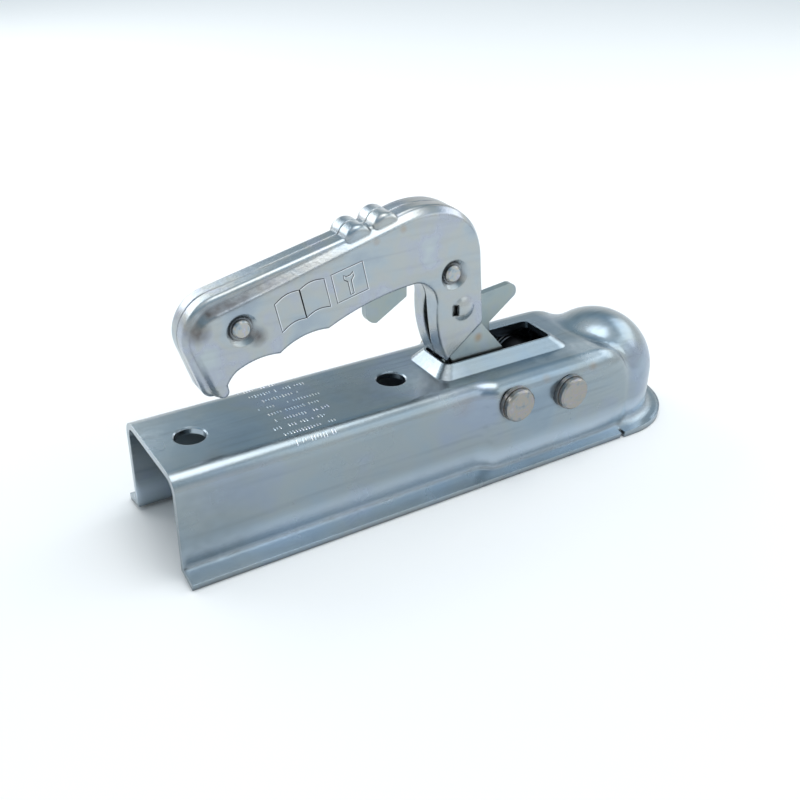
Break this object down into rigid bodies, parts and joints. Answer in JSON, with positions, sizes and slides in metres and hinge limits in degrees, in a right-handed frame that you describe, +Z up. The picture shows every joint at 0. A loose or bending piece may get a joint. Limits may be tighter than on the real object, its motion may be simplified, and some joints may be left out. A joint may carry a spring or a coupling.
{
  "type": "trailer coupling head",
  "caption": "Pressed steel trailer coupling head with a ball socket, a jaw, a lift handle with trigger, and a channel for a square drawbar.",
  "frame": {"origin": "centre of the towing ball in the closed socket", "axes": "+X along the drawbar towards the front of the ball, +Z up, +Y to the left"},
  "size_m": [0.2704, 0.0736, 0.1272],
  "materials": {
    "zinc_body": "bright zinc plated, satin",
    "zinc_handle": "bright zinc plated, satin",
    "zinc_pins": "zinc plated, smooth",
    "zinc_rivets": "zinc plated",
    "zinc_tubes": "zinc plated",
    "zinc_plates": "zinc plated, lightly stained",
    "jaw_steel": "zinc plated, dull",
    "zinc_trigger": "zinc plated",
    "zinc_indicator": "zinc plated",
    "spring_steel": "bright wire"
  },
  "bodies": {
    "housing": {"coupling_body": "zinc_body", "lever_pin": "zinc_pins", "jaw_pin": "zinc_pins", "pin_washers": "zinc_pins", "lever_bush_left": "zinc_tubes", "lever_bush_right": "zinc_tubes", "jaw_bush_left": "zinc_tubes", "jaw_bush_right": "zinc_tubes", "jaw_spring": "spring_steel", "indicator_spacers": "zinc_tubes"},
    "handle": {"handle_half_left": "zinc_handle", "handle_half_right": "zinc_handle", "grip_rivet": "zinc_rivets", "neck_rivet": "zinc_rivets", "grip_spacer": "zinc_tubes", "neck_spacer": "zinc_tubes", "lever_plate_left": "zinc_plates", "lever_plate_right": "zinc_plates", "thrust_pin": "zinc_pins"},
    "jaw": {"ball_jaw": "jaw_steel"},
    "indicator": {"indicator": "zinc_indicator"},
    "trigger": {"trigger": "zinc_trigger"}
  },
  "joints": [
    {"name": "handle_lift", "type": "hinge", "parent": "housing", "child": "handle", "pos_m": [-0.0746, 0, 0.014], "axis": [0, 1, 0], "range_deg": [0, 60]},
    {"name": "jaw_swing", "type": "hinge", "parent": "housing", "child": "jaw", "pos_m": [-0.0431, 0, 0.0112], "axis": [0, 1, 0], "range_deg": [0, 18]},
    {"name": "indicator_tilt", "type": "hinge", "parent": "housing", "child": "indicator", "pos_m": [-0.0746, 0, 0.014], "axis": [0, 1, 0], "range_deg": [0, 25]},
    {"name": "trigger_pull", "type": "hinge", "parent": "handle", "child": "trigger", "pos_m": [-0.0956, 0, 0.0722], "axis": [0, 1, 0], "range_deg": [0, 3], "stiffness_Nm_per_rad": 1, "springref_deg": -5.73}
  ],
  "couplings": [
    {"joint": "jaw_swing", "follows": "handle_lift", "ratio": 0.3},
    {"joint": "indicator_tilt", "follows": "handle_lift", "ratio": 0.4166}
  ]
}
